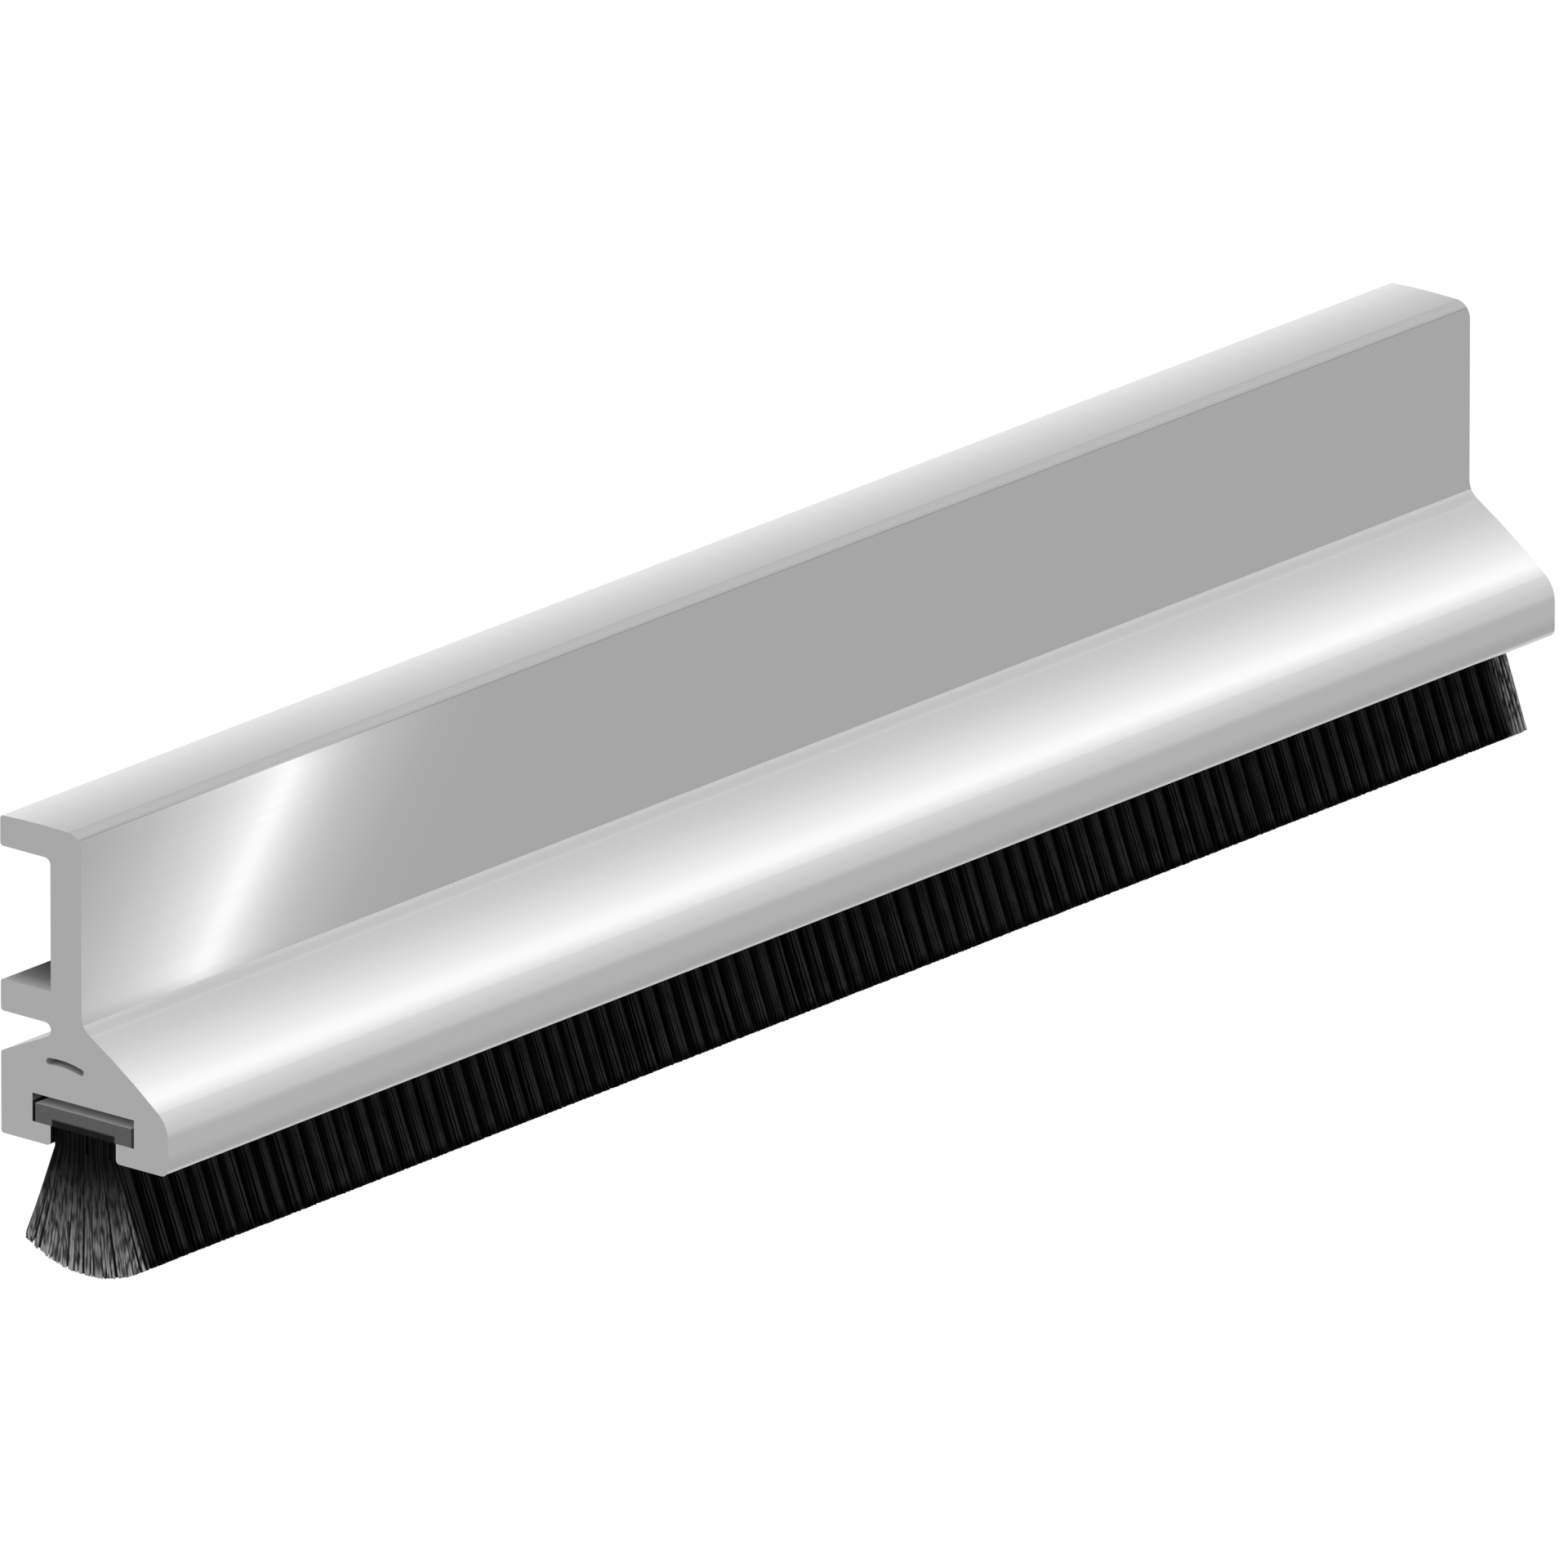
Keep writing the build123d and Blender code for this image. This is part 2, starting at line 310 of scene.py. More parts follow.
bristle = {
    # near black, and a pale colour that stands in for the filaments' gleam as painted sheen
    "colour": "#040404",
    "paleColour": "#363636",
    # painted light on the sawn ends of the brush
    "paintedEndLightColour": "#D2D2D2",
    "roughness": 0.5,
    "ior": 1.49,
    "gloss": 0.06,                       # specular level, low on scuffed filament
    # painted shade on the tips, and painted sheen in uneven patches
    "shadedTips": (7.35 * millimetre, 7.8 * millimetre),   # from the trimmed curve's middle
    "patchSize": 1.3 * millimetre,       # of the uneven gleam
    "patchNoise": {"Scale": 1.0, "Detail": 1.0},
    "patchTone": {"From Min": 0.35, "From Max": 0.65, "To Min": 0.6, "To Max": 1.3},   # by that noise
    "filamentRadius": 0.1 * millimetre,
    "filamentSides": 3,
    "columns": 6,                        # filaments of a tuft, along the strip
    "rows": 46,                          # and across it
    "tuftPitch": 1.38 * millimetre,
    "tuftFill": 0.68,                    # share of the pitch between a tuft's outer filaments
    "rootHalf": 2.2 * millimetre,
    "neckLength": 1.15 * millimetre,     # between the lips
    "trimRadius": 8.0 * millimetre,
    "ridge": 0.3 * millimetre,           # how far a tuft bulges at its tips
    "rootRidge": 0.1 * millimetre,
    "unevenness": 0.05 * millimetre,     # of the trimmed tips
    "wander": 0.04 * millimetre,         # how far a tip strays, inwards and to either side
    # drawn by chance for each filament, between the two values. Each line's seed is one more
    # than that of the line above, so their order counts
    "chances": {
        "columnShift": (-0.15, 0.15),    # share of the way to the next filament along
        "rowShift": (-0.5, 0.5),         # and to the next across
        "shortness": (0.0, 1.0),         # share of the unevenness
        "paleness": (0.85, 1.15),
        "inwardDrift": (0.0, 1.0),       # share of the wander
        "sideDrift": (-1.0, 1.0),
    },
    # painted shade on a tuft's outer filaments
    "outerShade": 1.2,                   # how much darker a tuft's outer filaments are
    "endGreyReachNear": 0.5 * millimetre,     # how far greyed filaments reach in from each end
    "endGreyReachFar": 2.2 * millimetre,
    "endShareStrength": 1.8,                 # above 1, so that the outer part of that reach is all grey
    "farRootGrey": 0.85,                 # how much of the grey the roots have at the far end
    "endGreyTipPower": 2.0,                    # power that keeps the grey near the tips
    "speckleWidth": 0.2 * millimetre,
    "speckleLength": 0.9 * millimetre,
    "speckleNoise": {"Scale": 1.0, "Detail": 1.0, "Roughness": 0.5},
    # share of the grey that shows, by that noise
    "speckleGrey": {"From Min": 0.38, "From Max": 0.62, "To Min": 0.15, "To Max": 1.0},
    "seed": 11,
    "stretches": ("bristlesNear", "bristlesMiddle", "bristlesFar"),
}


def bristlePolypropylene():
    # black polypropylene monofilament: near black with a dull gleam that is partly painted sheen,
    # painted light greying it near the sawn ends and painted shade on its tips
    material, tree = newMaterial("polypropyleneMonofilamentBlack")
    tone = addNode(tree, "ShaderNodeAttribute", {"attribute_name": "tone"}).outputs["Fac"]
    paintedEndLight = addNode(tree, "ShaderNodeAttribute", {"attribute_name": "paintedEndLight"}).outputs["Fac"]
    place = addNode(tree, "ShaderNodeTexCoord").outputs["Object"]
    scale = (1 / bristle["speckleWidth"], 1 / bristle["speckleWidth"], 1 / bristle["speckleLength"])
    drawn = addNode(tree, "ShaderNodeMapping", None, {"Vector": place, "Scale": scale})
    speckle = addNode(tree, "ShaderNodeTexNoise", None,
                      {"Vector": drawn.outputs[0], **bristle["speckleNoise"]})
    patchy = addNode(tree, "ShaderNodeMapRange", None,
                     {"Value": speckle.outputs["Fac"], **bristle["speckleGrey"]}).outputs[0]
    atTips = addNode(tree, "ShaderNodeMath", {"operation": "POWER"},
                     {0: paintedEndLight, 1: bristle["endGreyTipPower"]}).outputs[0]
    greyed = addNode(tree, "ShaderNodeMath", {"operation": "MULTIPLY"}, {0: atTips, 1: patchy}).outputs[0]

    # painted sheen, uneven in patches, and painted shade on the tips
    cloudScale = (1 / bristle["patchSize"],) * 3
    cloudy = addNode(tree, "ShaderNodeMapping", None, {"Vector": place, "Scale": cloudScale})
    clouds = addNode(tree, "ShaderNodeTexNoise", None,
                     {"Vector": cloudy.outputs[0], **bristle["patchNoise"]})
    unevenPaintedSheen = addNode(tree, "ShaderNodeMapRange", None,
                     {"Value": clouds.outputs["Fac"], **bristle["patchTone"]}).outputs[0]
    trimMiddle = (0, -(bristleLow.y + bristleHigh.y) / 2, -bristleLow.z - bristle["trimRadius"])
    flat = addNode(tree, "ShaderNodeMapping", None,
                   {"Vector": place, "Location": trimMiddle, "Scale": (0, 1, 1)}).outputs[0]
    away = addNode(tree, "ShaderNodeVectorMath", {"operation": "LENGTH"}, {0: flat}).outputs["Value"]
    litFrom, litTo = bristle["shadedTips"]
    lit = addNode(tree, "ShaderNodeMapRange", None,
                  {"Value": away, "From Min": litTo, "From Max": litFrom}).outputs[0]
    tone = addNode(tree, "ShaderNodeMath", {"operation": "MULTIPLY"}, {0: tone, 1: unevenPaintedSheen}).outputs[0]
    tone = addNode(tree, "ShaderNodeMath", {"operation": "MULTIPLY"}, {0: tone, 1: lit}).outputs[0]
    black = addNode(tree, "ShaderNodeMix", {"data_type": "RGBA"},
                    {"Factor": tone, 6: linearFromHex(bristle["colour"]),
                     7: linearFromHex(bristle["paleColour"])}).outputs[2]
    colour = addNode(tree, "ShaderNodeMix", {"data_type": "RGBA"},
                     {"Factor": greyed, 6: black, 7: linearFromHex(bristle["paintedEndLightColour"])}).outputs[2]
    surface = addNode(tree, "ShaderNodeBsdfPrincipled", None,
                      {"Base Color": colour, "Roughness": bristle["roughness"], "IOR": bristle["ior"],
                       "Specular IOR Level": bristle["gloss"]})
    addNode(tree, "ShaderNodeOutputMaterial", None, {"Surface": surface.outputs[0]})
    return material


def bristleTree(material):
    tree = bpy.data.node_groups.new("bristleTufts", "GeometryNodeTree")
    kinds = {float: "NodeSocketFloat", int: "NodeSocketInt"}
    sizes = {
        "First tuft": 0, "Tufts": 10, "Columns": bristle["columns"], "Rows": bristle["rows"],
        "Seed": bristle["seed"], "Near end": 0.0, "Far end": 0.0, "Pitch": bristle["tuftPitch"],
        "Fill": bristle["tuftFill"], "Middle": 0.0, "Root level": 0.0, "Neck level": 0.0, "Tip level": 0.0,
        "Root half": bristle["rootHalf"], "Tip half": 0.0, "Trim radius": bristle["trimRadius"],
        "Filament radius": bristle["filamentRadius"], "Root ridge": bristle["rootRidge"],
        "Ridge": bristle["ridge"], "Unevenness": bristle["unevenness"], "Wander": bristle["wander"],
        "End grey near": bristle["endGreyReachNear"], "End grey far": bristle["endGreyReachFar"],
    }
    for name, value in sizes.items():
        socket = tree.interface.new_socket(name=name, in_out="INPUT", socket_type=kinds[type(value)])
        socket.default_value = value
    tree.interface.new_socket(name="Bristles", in_out="OUTPUT", socket_type="NodeSocketGeometry")
    given = addNode(tree, "NodeGroupInput").outputs

    # every filament is a point first, numbered along the whole brush
    inTuft = addNode(tree, "ShaderNodeMath", {"operation": "MULTIPLY"},
                     {0: given["Columns"], 1: given["Rows"]}).outputs[0]
    earlier = addNode(tree, "ShaderNodeMath", {"operation": "MULTIPLY"},
                      {0: given["First tuft"], 1: inTuft}).outputs[0]
    index = addNode(tree, "GeometryNodeInputIndex").outputs[0]
    serial = addNode(tree, "ShaderNodeMath", {"operation": "ADD"}, {0: index, 1: earlier}).outputs[0]
    count = addNode(tree, "ShaderNodeMath", {"operation": "MULTIPLY"},
                    {0: given["Tufts"], 1: inTuft}).outputs[0]
    points = addNode(tree, "GeometryNodePoints", None, {"Count": count}).outputs[0]

    # values by name: the sizes given, what is drawn by chance, and what is worked out below
    found = {name: given[name] for name in sizes}
    found.update({"inTuft": inTuft, "serial": serial})
    for offset, (name, (low, high)) in enumerate(bristle["chances"].items()):
        seed = addNode(tree, "ShaderNodeMath", {"operation": "ADD"},
                       {0: given["Seed"], 1: offset}).outputs[0]
        found[name] = addNode(tree, "FunctionNodeRandomValue", {"data_type": "FLOAT"},
                              {2: low, 3: high, "ID": serial, "Seed": seed}).outputs[1]
    pointSums = {
        # which tuft, and which row and column of it
        "serialMiddle": ("ADD", "serial", 0.5),
        "tuftShare": ("DIVIDE", "serialMiddle", "inTuft"),
        "tuft": ("FLOOR", "tuftShare"),
        "beforeTuft": ("MULTIPLY", "tuft", "inTuft"),
        "within": ("SUBTRACT", "serial", "beforeTuft"),
        "withinMiddle": ("ADD", "within", 0.5),
        "rowShare": ("DIVIDE", "withinMiddle", "Columns"),
        "row": ("FLOOR", "rowShare"),
        "beforeRow": ("MULTIPLY", "row", "Columns"),
        "column": ("SUBTRACT", "within", "beforeRow"),
        # spread evenly from -1 to 1 along and across the tuft, each a little out of its place
        "columnShifted": ("ADD", "column", "columnShift"),
        "columnSteps": ("SUBTRACT", "Columns", 1.0),
        "columnEven": ("DIVIDE", "columnShifted", "columnSteps"),
        "alongFree": ("MULTIPLY_ADD", "columnEven", 2.0, -1.0),
        "alongLeast": ("MAXIMUM", "alongFree", -1.0),
        "along": ("MINIMUM", "alongLeast", 1.0),
        "rowShifted": ("ADD", "row", "rowShift"),
        "rowSteps": ("SUBTRACT", "Rows", 1.0),
        "rowEven": ("DIVIDE", "rowShifted", "rowSteps"),
        "acrossFree": ("MULTIPLY_ADD", "rowEven", 2.0, -1.0),
        "acrossLeast": ("MAXIMUM", "acrossFree", -1.0),
        "across": ("MINIMUM", "acrossLeast", 1.0),
        # where it stands along the strip
        "tuftMiddle": ("ADD", "tuft", 0.5),
        "centre": ("MULTIPLY_ADD", "tuftMiddle", "Pitch", "Near end"),
        "halfPitch": ("MULTIPLY", "Pitch", 0.5),
        "reach": ("MULTIPLY", "halfPitch", "Fill"),
        "rootX": ("MULTIPLY_ADD", "along", "reach", "centre"),
        # a tuft is fullest half way along it, which makes the ridges
        "alongSquared": ("MULTIPLY", "along", "along"),
        "rootHollow": ("MULTIPLY", "Root ridge", "alongSquared"),
        "rootEdge": ("SUBTRACT", "Root half", "rootHollow"),
        "rootY": ("MULTIPLY_ADD", "across", "rootEdge", "Middle"),
        "tipHollow": ("MULTIPLY", "Ridge", "alongSquared"),
        "tipEdge": ("SUBTRACT", "Tip half", "tipHollow"),
        "tipReach": ("MULTIPLY", "across", "tipEdge"),
        # the tips are trimmed to a curve, a little unevenly
        "radiusSquared": ("MULTIPLY", "Trim radius", "Trim radius"),
        "reachSquared": ("MULTIPLY", "tipReach", "tipReach"),
        "dropSquared": ("SUBTRACT", "radiusSquared", "reachSquared"),
        "drop": ("SQRT", "dropSquared"),
        "trimMiddle": ("ADD", "Tip level", "Trim radius"),
        "trimLevel": ("SUBTRACT", "trimMiddle", "drop"),
        "tipLevel": ("MULTIPLY_ADD", "Unevenness", "shortness", "trimLevel"),
        # and they stray a little
        "side": ("SIGN", "across"),
        "drift": ("MULTIPLY", "Wander", "inwardDrift"),
        "inward": ("MULTIPLY", "side", "drift"),
        "tipFanned": ("ADD", "Middle", "tipReach"),
        "tipY": ("SUBTRACT", "tipFanned", "inward"),
        "tipX": ("MULTIPLY_ADD", "Wander", "sideDrift", "rootX"),
        # filaments are painted grey near the sawn ends, and up to their roots at the far one: painted light
        "fromNear": ("SUBTRACT", "rootX", "Near end"),
        "nearEndSteps": ("DIVIDE", "fromNear", "End grey near"),
        "fromFar": ("SUBTRACT", "Far end", "rootX"),
        "farEndSteps": ("DIVIDE", "fromFar", "End grey far"),
        "nearest": ("MINIMUM", "nearEndSteps", "farEndSteps"),
        "endShareFree": ("SUBTRACT", 1.0, "nearest"),
        "endShareLeast": ("MAXIMUM", "endShareFree", 0.0),
        "endShareStrong": ("MULTIPLY", "endShareLeast", bristle["endShareStrength"]),
        "endShare": ("MINIMUM", "endShareStrong", 1.0),
        "atFarEnd": ("GREATER_THAN", "nearEndSteps", "farEndSteps"),
        "farRoot": ("MULTIPLY", "atFarEnd", bristle["farRootGrey"]),
        # painted shade: the outer filaments of a tuft lie deeper, and are painted darker
        "toneFree": ("MULTIPLY_ADD", "alongSquared", -bristle["outerShade"], "paleness"),
        "toneLeast": ("MAXIMUM", "toneFree", 0.0),
        "ownToneAndShade": ("MINIMUM", "toneLeast", 1.0),
    }
    for name, (operation, *values) in pointSums.items():
        inputs = {i: found.get(value, value) for i, value in enumerate(values)}
        found[name] = addNode(tree, "ShaderNodeMath", {"operation": operation}, inputs).outputs[0]
    bends = {"root": ("rootX", "rootY", "Root level"), "neck": ("rootX", "rootY", "Neck level"),
             "tip": ("tipX", "tipY", "tipLevel")}
    for name, values in bends.items():
        inputs = {i: found[value] for i, value in enumerate(values)}
        found[name] = addNode(tree, "ShaderNodeCombineXYZ", None, inputs).outputs[0]

    # the points keep these values, and what follows reads them from there
    kept = {"root": "FLOAT_VECTOR", "neck": "FLOAT_VECTOR", "tip": "FLOAT_VECTOR",
            "ownToneAndShade": "FLOAT", "endShare": "FLOAT", "farRoot": "FLOAT"}
    for name, kind in kept.items():
        points = addNode(tree, "GeometryNodeStoreNamedAttribute", {"data_type": kind, "domain": "POINT"},
                         {"Geometry": points, "Name": name, "Value": found[name]}).outputs[0]
        found[name] = addNode(tree, "GeometryNodeInputNamedAttribute", {"data_type": kind},
                              {"Name": name}).outputs[0]

    # each point becomes a line of three: root, foot of the neck and tip
    line = addNode(tree, "GeometryNodeCurvePrimitiveLine").outputs[0]
    line = addNode(tree, "GeometryNodeResampleCurve", None,
                   {"Curve": line, "Count": len(bends)}).outputs[0]
    lines = addNode(tree, "GeometryNodeInstanceOnPoints", None,
                    {"Points": points, "Instance": line}).outputs[0]
    lines = addNode(tree, "GeometryNodeRealizeInstances", None, {0: lines}).outputs[0]
    found["share"] = addNode(tree, "GeometryNodeSplineParameter").outputs["Factor"]
    lineSums = {
        "doubled": ("MULTIPLY", "share", 2.0),
        "inNeck": ("MINIMUM", "doubled", 1.0),
        "pastNeck": ("MULTIPLY_ADD", "share", 2.0, -1.0),
        "belowNeck": ("MAXIMUM", "pastNeck", 0.0),
        "greyFrom": ("MAXIMUM", "belowNeck", "farRoot"),
        "paintedEndLight": ("MULTIPLY", "endShare", "greyFrom"),
        # painted shade: greyed filaments are painted darker at their roots
        "aboveTip": ("SUBTRACT", 1.0, "belowNeck"),
        "rootShade": ("MULTIPLY", "endShare", "aboveTip"),
        "unshaded": ("SUBTRACT", 1.0, "rootShade"),
        "tone": ("MULTIPLY", "ownToneAndShade", "unshaded"),
    }
    for name, (operation, *values) in lineSums.items():
        inputs = {i: found.get(value, value) for i, value in enumerate(values)}
        found[name] = addNode(tree, "ShaderNodeMath", {"operation": operation}, inputs).outputs[0]
    atNeck = addNode(tree, "ShaderNodeMix", {"data_type": "VECTOR"},
                     {"Factor": found["inNeck"], 4: found["root"], 5: found["neck"]}).outputs[1]
    place = addNode(tree, "ShaderNodeMix", {"data_type": "VECTOR"},
                    {"Factor": found["belowNeck"], 4: atNeck, 5: found["tip"]}).outputs[1]
    lines = addNode(tree, "GeometryNodeSetPosition", None, {"Geometry": lines, "Position": place}).outputs[0]
    for name in ("paintedEndLight", "tone"):
        lines = addNode(tree, "GeometryNodeStoreNamedAttribute", {"data_type": "FLOAT", "domain": "POINT"},
                        {"Geometry": lines, "Name": name, "Value": found[name]}).outputs[0]
    ring = addNode(tree, "GeometryNodeCurvePrimitiveCircle", {"mode": "RADIUS"},
                   {"Resolution": bristle["filamentSides"], "Radius": given["Filament radius"]}).outputs[0]
    filaments = addNode(tree, "GeometryNodeCurveToMesh", None,
                        {"Curve": lines, "Profile Curve": ring, "Fill Caps": True}).outputs[0]
    for name in kept:
        filaments = addNode(tree, "GeometryNodeRemoveAttribute", None,
                            {"Geometry": filaments, "Name": name}).outputs[0]
    filaments = addNode(tree, "GeometryNodeSetShadeSmooth", None, {"Geometry": filaments}).outputs[0]
    filaments = addNode(tree, "GeometryNodeRealizeInstances", None, {0: filaments}).outputs[0]
    filaments = addNode(tree, "GeometryNodeSetMaterial", None,
                        {"Geometry": filaments, "Material": material}).outputs[0]
    addNode(tree, "NodeGroupOutput", None, {0: filaments})
    return tree


def bristlePiece(name, tree, firstTuft, tufts, pitch):
    # one stretch of the brush, turned into a plain mesh
    holder = bpy.data.objects.new(name + "Nodes", bpy.data.meshes.new(name + "Nodes"))
    bpy.context.scene.collection.objects.link(holder)
    modifier = holder.modifiers.new("bristles", "NODES")
    modifier.node_group = tree
    values = {
        "First tuft": firstTuft, "Tufts": tufts, "Pitch": pitch,
        "Near end": bristleLow.x, "Far end": bristleHigh.x, "Middle": (bristleLow.y + bristleHigh.y) / 2,
        "Root level": bristleHigh.z, "Neck level": bristleHigh.z - bristle["neckLength"],
        "Tip level": bristleLow.z,
        "Tip half": (bristleHigh.y - bristleLow.y) / 2 - bristle["filamentRadius"],
    }
    for socket in tree.interface.items_tree:
        if socket.in_out == "INPUT" and socket.name in values:
            modifier[socket.identifier] = values[socket.name]
    bpy.context.view_layer.update()
    mesh = bpy.data.meshes.new_from_object(holder.evaluated_get(bpy.context.evaluated_depsgraph_get()))
    mesh.name = name
    bpy.data.objects.remove(holder)
    piece = bpy.data.objects.new(name, mesh)
    bpy.context.scene.collection.objects.link(piece)
    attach(piece, "root")
    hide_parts("brush_bristles")
    print(name, "triangles", sum(len(p.vertices) - 2 for p in mesh.polygons))


def brush():
    tree = bristleTree(bristlePolypropylene())
    length = bristleHigh.x - bristleLow.x
    tufts = round(length / bristle["tuftPitch"])
    names = bristle["stretches"]
    starts = [round(tufts * i / len(names)) for i in range(len(names) + 1)]
    for name, start, end in zip(names, starts, starts[1:]):
        bristlePiece(name, tree, start, end - start, length / tufts)


brush()
print("brush made")


# Room: pale floor and white surround. The carrier's long faces mirror the surround only
# by how far the line of sight is turned about X, so its brightness is given by that turn,
# as a row of long strip lights would give it

room = {
    "floorDrop": 0.1,          # metres below the brush
    "floorSize": 40.0,         # metres
    "floorColour": "#E6E6E6",
    # metres aside of the strip: how bright the floor shows in the metal
    "floorGloss": {0.05: 0.95, 0.1: 0.72, 0.14: 0.675, 0.32: 0.685, 0.6: 0.78, 1.2: 0.88},
    "diffuseLight": 0.7,       # brightness that lights matt surfaces
    # degrees from straight up, towards the front: brightness in the metal
    "glossLight": {-90: 0.9, -80: 1.75, -68: 1.26, -62: 0.96, -56: 0.76, -48: 0.76, -12: 0.85, -3: 1.0,
                   1: 0.91, 4: 1.07, 6.5: 1.2, 8.5: 1.4, 10: 1.53, 11.5: 1.35, 12.5: 2.38, 13.5: 2.68,
                   14.7: 0.75, 17: 1.2, 40: 1.14, 88: 0.95, 90: 0.93},
}


def ramp(tree, value, levels):
    # brightness looked up by a value, between the levels given
    low, high = min(levels), max(levels)
    brightest = max(levels.values())
    share = addNode(tree, "ShaderNodeMapRange", None,
                    {"Value": value, "From Min": low, "From Max": high}).outputs[0]
    band = addNode(tree, "ShaderNodeValToRGB", None, {"Fac": share})
    stops = band.color_ramp.elements
    while len(stops) < len(levels):
        stops.new(0.5)   # anywhere, because each is put in its place below
    for stop, (position, level) in zip(stops, sorted(levels.items())):
        stop.position = (position - low) / (high - low)
    for stop, (position, level) in zip(stops, sorted(levels.items())):
        stop.color = (level / brightest, level / brightest, level / brightest, 1)
    return addNode(tree, "ShaderNodeMath", {"operation": "MULTIPLY"},
                   {0: band.outputs["Color"], 1: brightest}).outputs[0]


def surround():
    # white to the camera, softer as a light
    world = bpy.data.worlds.new("studio")
    bpy.context.scene.world = world
    world.use_nodes = True
    tree = world.node_tree
    tree.nodes.clear()
    way = addNode(tree, "ShaderNodeTexCoord").outputs["Generated"]
    parts = addNode(tree, "ShaderNodeSeparateXYZ", None, {0: way}).outputs
    front = addNode(tree, "ShaderNodeMath", {"operation": "MULTIPLY"}, {0: parts["Y"], 1: -1.0}).outputs[0]
    turn = addNode(tree, "ShaderNodeMath", {"operation": "ARCTAN2"}, {0: front, 1: parts["Z"]}).outputs[0]
    degrees = addNode(tree, "ShaderNodeMath", {"operation": "DEGREES"}, {0: turn}).outputs[0]
    gloss = ramp(tree, degrees, room["glossLight"])
    path = addNode(tree, "ShaderNodeLightPath").outputs
    light = addNode(tree, "ShaderNodeMix", {"data_type": "FLOAT"},
                    {"Factor": path["Is Glossy Ray"], 2: room["diffuseLight"], 3: gloss}).outputs[0]
    strength = addNode(tree, "ShaderNodeMix", {"data_type": "FLOAT"},
                       {"Factor": path["Is Camera Ray"], 2: light, 3: 1.0}).outputs[0]
    shine = addNode(tree, "ShaderNodeBackground", None, {"Color": (1, 1, 1, 1), "Strength": strength})
    addNode(tree, "ShaderNodeOutputWorld", None, {"Surface": shine.outputs[0]})


def stageMesh(name, corners, material):
    mesh = bpy.data.meshes.new(name)
    mesh.from_pydata(corners, [], [tuple(range(len(corners)))])
    mesh.materials.append(material)
    piece = bpy.data.objects.new(name, mesh)
    bpy.context.scene.collection.objects.link(piece)
    return piece


def floor():
    half = room["floorSize"] / 2
    level = cadBounds[0].z - room["floorDrop"]
    material, tree = newMaterial("paintedFloorPale")
    path = addNode(tree, "ShaderNodeLightPath").outputs
    place = addNode(tree, "ShaderNodeTexCoord").outputs["Object"]
    aside = addNode(tree, "ShaderNodeSeparateXYZ", None, {0: place}).outputs["Y"]
    distance = addNode(tree, "ShaderNodeMath", {"operation": "ABSOLUTE"}, {0: aside}).outputs[0]
    gloss = ramp(tree, distance, room["floorGloss"])
    paint = addNode(tree, "ShaderNodeBsdfDiffuse", None, {"Color": linearFromHex(room["floorColour"])})
    white = addNode(tree, "ShaderNodeEmission", None, {"Strength": 1.0})
    pale = addNode(tree, "ShaderNodeEmission", None, {"Strength": gloss})
    clear = addNode(tree, "ShaderNodeBsdfTransparent")
    seen = addNode(tree, "ShaderNodeMixShader", None,
                   {0: path["Is Glossy Ray"], 1: paint.outputs[0], 2: pale.outputs[0]}).outputs[0]
    seen = addNode(tree, "ShaderNodeMixShader", None,
                   {0: path["Is Camera Ray"], 1: seen, 2: white.outputs[0]}).outputs[0]
    below = addNode(tree, "ShaderNodeNewGeometry").outputs["Backfacing"]
    oneSided = addNode(tree, "ShaderNodeMixShader", None, {0: below, 1: seen, 2: clear.outputs[0]}).outputs[0]
    addNode(tree, "ShaderNodeOutputMaterial", None, {"Surface": oneSided})
    corners = [(-half, -half, level), (half, -half, level), (half, half, level), (-half, half, level)]
    stageMesh("floor", corners, material)


surround()
floor()
print("room made")


# Camera at the photograph's angle, on a lens so long that the strip's edges stay parallel

camera = {
    "azimuth": -50.15,
    "elevation": 18.87,
    "lens": 1600.0,
    "sensor": 36.0,
    "clip": (0.01, 100.0),             # nearest and farthest that it sees, in metres
    "framePixels": 1920,
    "pixelsPerMillimetre": 22.1,
    "backEdgePixel": (860.7, 666.4),   # middle of the carrier's top back edge
}
azimuth = math.radians(camera["azimuth"])
elevation = math.radians(camera["elevation"])
towardsCamera = Vector((math.sin(azimuth) * math.cos(elevation), -math.cos(azimuth) * math.cos(elevation),
                        math.sin(elevation)))


def takeCamera():
    data = bpy.data.cameras.new("camera")
    data.lens = camera["lens"]
    data.sensor_width = camera["sensor"]
    data.clip_start, data.clip_end = camera["clip"]
    eye = bpy.data.objects.new("camera", data)
    bpy.context.scene.collection.objects.link(eye)
    turn = (-towardsCamera).to_track_quat("-Z", "Y")
    right = turn @ Vector((1, 0, 0))
    up = turn @ Vector((0, 1, 0))
    scale = camera["pixelsPerMillimetre"] / millimetre
    halfFrame = camera["framePixels"] / 2
    anchor = Vector(((carrierLow.x + carrierHigh.x) / 2, carrierHigh.y, carrierHigh.z))
    rightwards = (halfFrame - camera["backEdgePixel"][0]) / scale
    upwards = (camera["backEdgePixel"][1] - halfFrame) / scale
    target = anchor + right * rightwards + up * upwards
    distance = camera["framePixels"] / scale * camera["lens"] / camera["sensor"]
    eye.rotation_mode = "QUATERNION"
    eye.rotation_quaternion = turn
    eye.location = target + towardsCamera * distance
    bpy.context.scene.camera = eye


takeCamera()
bpy.context.scene.view_settings.view_transform = "Standard"


# Gleam on the near end of the web: a small gridded softbox hung where the web mirrors it,
# its brightness falling off to both sides of a leaning line

